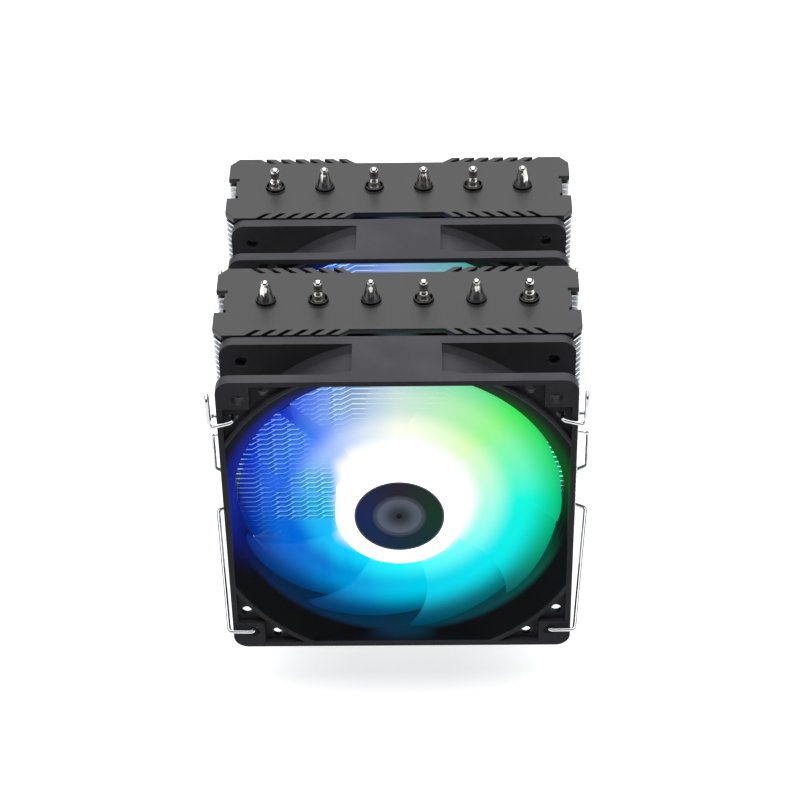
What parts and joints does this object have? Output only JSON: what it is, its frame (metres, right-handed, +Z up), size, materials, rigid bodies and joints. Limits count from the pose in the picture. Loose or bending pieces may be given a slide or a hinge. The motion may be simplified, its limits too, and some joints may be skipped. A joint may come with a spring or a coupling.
{
  "type": "cpu tower cooler",
  "caption": "Dual-tower air cooler for a processor, with U-shaped heat pipes, finned stacks under dark covers, lit axial fans on wire clips and a sprung mounting bar.",
  "frame": {"origin": "centre of the cold plate's contact face", "axes": "+Z up, away from the processor, -Y the front, where the first fan draws its air in, +X to the right of a viewer who faces that fan"},
  "size_m": [0.1362, 0.1369, 0.155],
  "materials": {
    "nickel": "bright nickel plate over copper",
    "raw_aluminium": "milled, fine brushed",
    "fin_aluminium": "bright rolled sheet",
    "cover_black": "fine satin powder coat over aluminium",
    "black_steel": "black powder coat",
    "steel": "machined, zinc plated",
    "dark_steel": "phosphated spring and core steel",
    "spring_wire": "drawn bright wire",
    "frame_black": "fine moulded texture",
    "blade_milky": "milky translucent, lit from the hub",
    "cap_grey": "smooth printed film",
    "bronze": "sintered bronze",
    "copper_wire": "enamelled copper wire",
    "board_green": "solder mask",
    "lamp_white": "clear lamp package",
    "magnet_grey": "bonded ferrite"
  },
  "bodies": {
    "heatsink": {"cold_plate": "nickel", "pipe_block": "raw_aluminium", "mounting_bar": "black_steel", "bar_screws": "steel", "heat_pipe_1": "nickel", "heat_pipe_2": "nickel", "heat_pipe_3": "nickel", "heat_pipe_4": "nickel", "heat_pipe_5": "nickel", "heat_pipe_6": "nickel", "front_fins": "fin_aluminium", "rear_fins": "fin_aluminium", "front_cover": "cover_black", "rear_cover": "cover_black", "left_spring": "spring_wire", "right_spring": "spring_wire"},
    "left_ring": {"left_retaining_ring": "dark_steel"},
    "left_screw": {"left_spring_screw": "steel"},
    "right_ring": {"right_retaining_ring": "dark_steel"},
    "right_screw": {"right_spring_screw": "steel"},
    "front_fan": {"front_fan_frame": "frame_black", "front_bearing": "bronze", "front_stator": "dark_steel", "front_windings": "copper_wire", "front_circuit_board": "board_green", "front_lamps": "lamp_white", "front_hub_plate": "cap_grey"},
    "front_rotor": {"front_impeller": "blade_milky", "front_hub_cap": "cap_grey", "front_yoke": "dark_steel", "front_magnet_ring": "magnet_grey", "front_shaft": "steel", "front_shaft_clip": "dark_steel"},
    "front_left_wire": {"front_left_clip": "spring_wire"},
    "front_right_wire": {"front_right_clip": "spring_wire"},
    "middle_fan": {"middle_fan_frame": "frame_black", "middle_bearing": "bronze", "middle_stator": "dark_steel", "middle_windings": "copper_wire", "middle_circuit_board": "board_green", "middle_lamps": "lamp_white", "middle_hub_plate": "cap_grey"},
    "middle_rotor": {"middle_impeller": "blade_milky", "middle_hub_cap": "cap_grey", "middle_yoke": "dark_steel", "middle_magnet_ring": "magnet_grey", "middle_shaft": "steel", "middle_shaft_clip": "dark_steel"},
    "middle_left_wire": {"middle_left_clip": "spring_wire"},
    "middle_right_wire": {"middle_right_clip": "spring_wire"}
  },
  "joints": [
    {"name": "left_screw_press", "type": "slide", "parent": "heatsink", "child": "left_ring", "axis": [0, 0, -1], "range_m": [0, 0.002], "stiffness_N_per_m": 3000, "springref_m": -0.003, "deforming": ["left_spring"]},
    {"name": "left_screw_turn", "type": "hinge", "parent": "left_ring", "child": "left_screw", "pos_m": [-0.041, 0, 0.0113], "axis": [0, 0, -1], "continuous": true},
    {"name": "right_screw_press", "type": "slide", "parent": "heatsink", "child": "right_ring", "axis": [0, 0, -1], "range_m": [0, 0.002], "stiffness_N_per_m": 3000, "springref_m": -0.003, "deforming": ["right_spring"]},
    {"name": "right_screw_turn", "type": "hinge", "parent": "right_ring", "child": "right_screw", "pos_m": [0.041, 0, 0.0113], "axis": [0, 0, -1], "continuous": true},
    {"name": "front_fan_height", "type": "slide", "parent": "heatsink", "child": "front_fan", "axis": [0, 0, 1], "range_m": [0, 0.03]},
    {"name": "front_rotor_spin", "type": "hinge", "parent": "front_fan", "child": "front_rotor", "pos_m": [0, -0.0678, 0.086], "axis": [0, -1, 0], "continuous": true},
    {"name": "front_left_clip_swing", "type": "hinge", "parent": "front_fan", "child": "front_left_wire", "pos_m": [-0.0536, -0.0789, 0.082], "axis": [0, 0, 1], "range_deg": [0, 20]},
    {"name": "front_right_clip_swing", "type": "hinge", "parent": "front_fan", "child": "front_right_wire", "pos_m": [0.0536, -0.0789, 0.082], "axis": [0, 0, -1], "range_deg": [0, 20]},
    {"name": "middle_fan_height", "type": "slide", "parent": "heatsink", "child": "middle_fan", "axis": [0, 0, 1], "range_m": [0, 0.03]},
    {"name": "middle_rotor_spin", "type": "hinge", "parent": "middle_fan", "child": "middle_rotor", "pos_m": [0, 0.0022, 0.086], "axis": [0, -1, 0], "continuous": true},
    {"name": "middle_left_clip_swing", "type": "hinge", "parent": "middle_fan", "child": "middle_left_wire", "pos_m": [-0.0536, -0.0089, 0.082], "axis": [0, 0, 1], "range_deg": [0, 20]},
    {"name": "middle_right_clip_swing", "type": "hinge", "parent": "middle_fan", "child": "middle_right_wire", "pos_m": [0.0536, -0.0089, 0.082], "axis": [0, 0, -1], "range_deg": [0, 20]}
  ]
}
